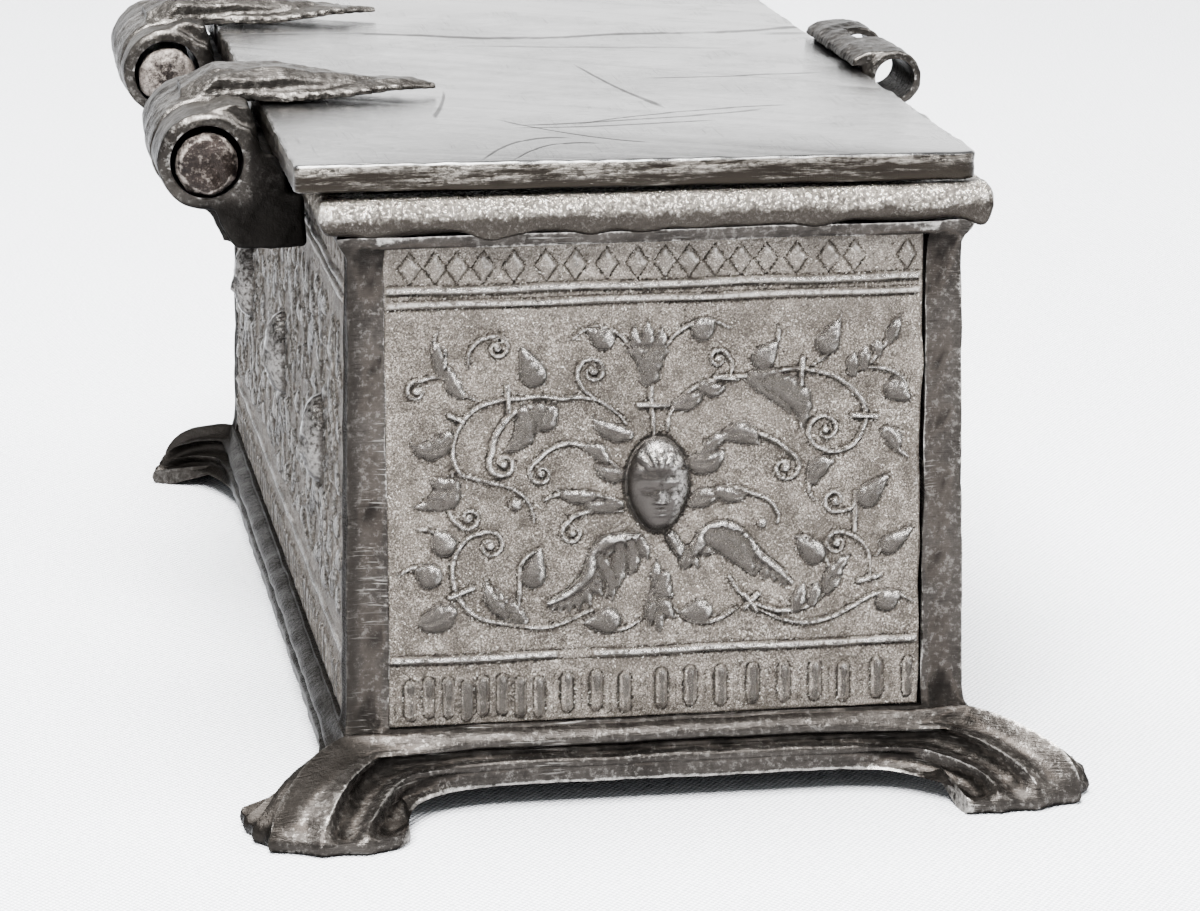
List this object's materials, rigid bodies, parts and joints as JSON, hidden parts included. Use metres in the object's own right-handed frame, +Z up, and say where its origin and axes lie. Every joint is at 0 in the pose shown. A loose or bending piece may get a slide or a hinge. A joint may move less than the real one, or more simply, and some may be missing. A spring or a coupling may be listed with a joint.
{
  "type": "metal casket box",
  "caption": "Small cast metal holy oil box on fluted feet, with relief panels, a soldered rim and a hinged flat lid with an open clasp.",
  "frame": {"origin": "on the table, under the middle of the object's outer box", "axes": "+Z up; +Y along the box, away from the end that the picture shows; +X across it, from the hinges to the clasp"},
  "size_m": [0.1054, 0.1862, 0.0802],
  "materials": {
    "cast_metal": "dull grey cast pewter, worn bright on the arrises",
    "floor_metal": "dull grey pewter",
    "panel_metal": "granular pewter with tan dirt in the ground",
    "rim_metal": "hammered solder, sparkling",
    "bracket_metal": "dark tarnished metal",
    "pin_iron": "rusty iron",
    "lid_metal": "worn polish with scratches",
    "leaf_metal": "rubbed grey metal, bright on its edges",
    "clasp_metal": "rubbed grey metal"
  },
  "bodies": {
    "box": {"carcass": "cast_metal", "floor_plate": "floor_metal", "end_panel_near": "panel_metal", "end_panel_far": "panel_metal", "side_panel_clasp": "panel_metal", "side_panel_hinge": "panel_metal", "rim_moulding": "rim_metal", "hinge_bracket_near": "bracket_metal", "hinge_bracket_far": "bracket_metal", "hinge_pin_near": "pin_iron", "hinge_pin_far": "pin_iron"},
    "lid": {"lid_plate": "lid_metal", "hinge_leaf_near": "leaf_metal", "hinge_leaf_far": "leaf_metal", "clasp_strap": "clasp_metal"}
  },
  "joints": [
    {"name": "lid_hinge", "type": "hinge", "parent": "box", "child": "lid", "pos_m": [-0.04668, 0, 0.0713], "axis": [0, -1, 0], "range_deg": [0, 198]}
  ]
}
